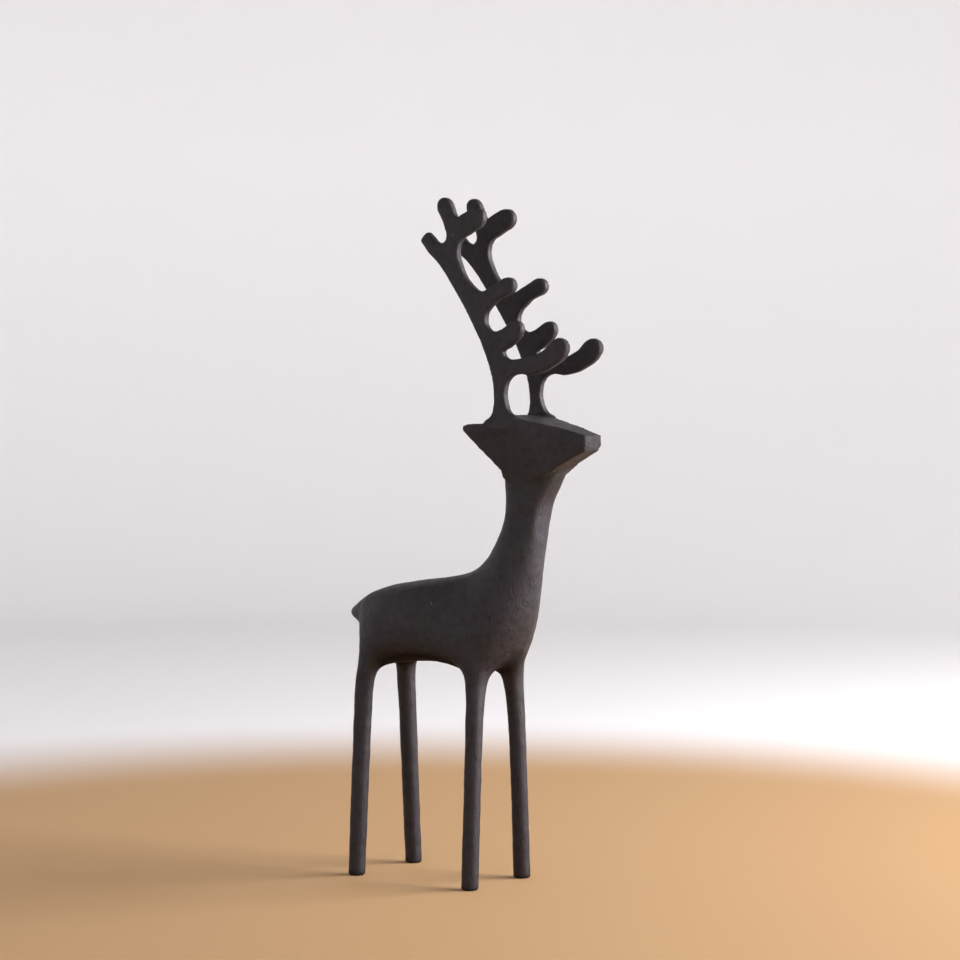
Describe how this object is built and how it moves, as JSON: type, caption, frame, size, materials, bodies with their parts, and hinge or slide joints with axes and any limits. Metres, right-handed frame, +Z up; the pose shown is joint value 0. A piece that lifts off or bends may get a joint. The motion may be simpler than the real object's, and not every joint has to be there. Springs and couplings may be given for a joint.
{
  "type": "cast reindeer figure",
  "caption": "Stylised standing reindeer with straight round legs, a smooth body, a faceted wedge-shaped head and flat branching antlers, cast in blackened zinc.",
  "frame": {"origin": "on the floor under the middle of the figure's box, between the feet and the muzzle", "axes": "+X forwards, the way the figure looks; +Y to its left; +Z up"},
  "size_m": [0.2003, 0.0728, 0.4571],
  "materials": {
    "blackened_cast_zinc": "matte, near black, finely grained sand-cast skin"
  },
  "bodies": {
    "root": {"reindeer_casting": "blackened_cast_zinc"}
  },
  "joints": []
}
